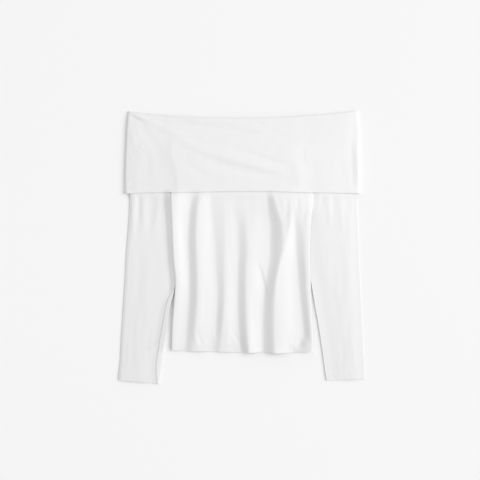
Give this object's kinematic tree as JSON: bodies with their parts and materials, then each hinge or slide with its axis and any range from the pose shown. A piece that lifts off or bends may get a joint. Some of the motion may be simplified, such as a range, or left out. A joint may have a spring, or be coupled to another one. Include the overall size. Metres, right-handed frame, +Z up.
{
  "type": "off-shoulder top laid flat",
  "caption": "Off-shoulder top in white jersey with long slim sleeves and a wide turned-down band, laid flat with its front up.",
  "frame": {"origin": "under the middle of the whole outline, on the surface that the garment lies on", "axes": "+Z up from that surface through the layers, +Y towards the neck, +X towards the sleeve on the right of the front view"},
  "size_m": [0.529, 0.5866, 0.0163],
  "materials": {
    "white_jersey": "matte fine jersey"
  },
  "bodies": {
    "root": {"front": "white_jersey", "back": "white_jersey", "sleeve_left": "white_jersey", "sleeve_right": "white_jersey", "band": "white_jersey"}
  },
  "joints": []
}
